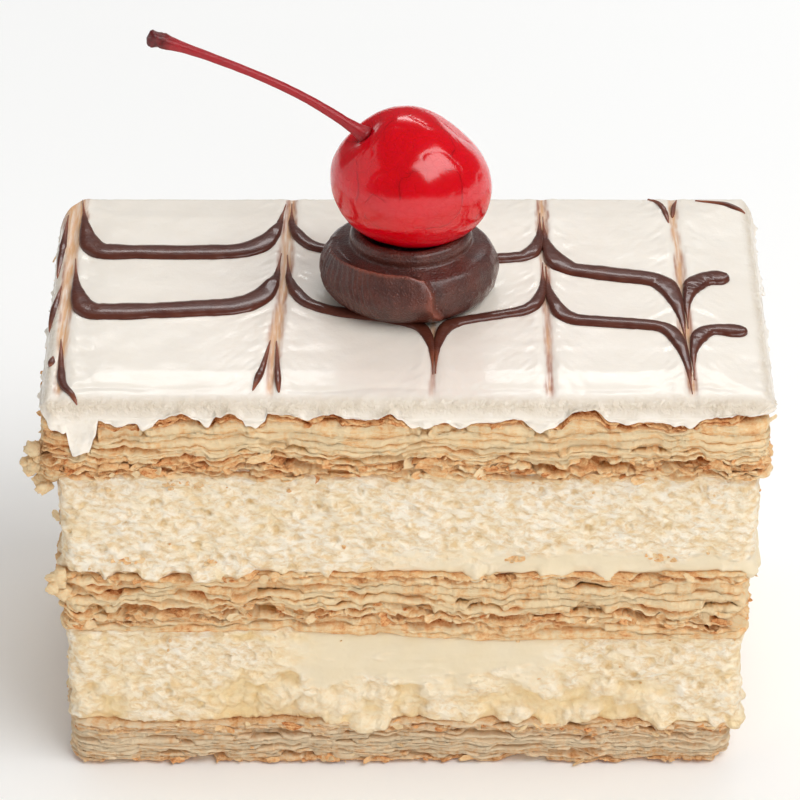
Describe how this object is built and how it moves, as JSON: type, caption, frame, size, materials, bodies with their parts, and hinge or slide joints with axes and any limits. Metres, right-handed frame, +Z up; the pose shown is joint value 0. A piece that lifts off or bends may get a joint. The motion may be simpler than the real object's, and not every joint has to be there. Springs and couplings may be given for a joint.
{
  "type": "mille-feuille slice",
  "caption": "Rectangular slice of layered puff pastry and custard cream, with feathered white icing, a piped chocolate rosette and a glossy cherry on its stem.",
  "frame": {"origin": "middle of the bounding box at its underside, on the surface the slice rests on", "axes": "+X along the slice's length, to the right as its cut front is seen; +Y from the cut front to the back; +Z up"},
  "size_m": [0.1068, 0.0662, 0.1026],
  "materials": {
    "bottom_pastry": "baked puff pastry, dull and flaky, a little greyer than the sheets above",
    "pastry": "baked puff pastry, dull and flaky, pale inside and golden brown at its faces",
    "cream": "custard cream, soft satin, porous where it was cut",
    "icing": "set white fondant icing, smooth satin gloss, with glossy dark chocolate lines fused to it",
    "chocolate": "chocolate ganache, smooth and satin",
    "cherry": "preserved cherry in syrup, glossy and a little see-through",
    "stem": "dyed cherry stem, ribbed satin"
  },
  "bodies": {
    "root": {"bottom_pastry": "bottom_pastry", "lower_cream": "cream", "middle_pastry": "pastry", "upper_cream": "cream", "top_pastry": "pastry", "icing": "icing", "chocolate_rosette": "chocolate", "cherry": "cherry", "cherry_stem": "stem"}
  },
  "joints": []
}
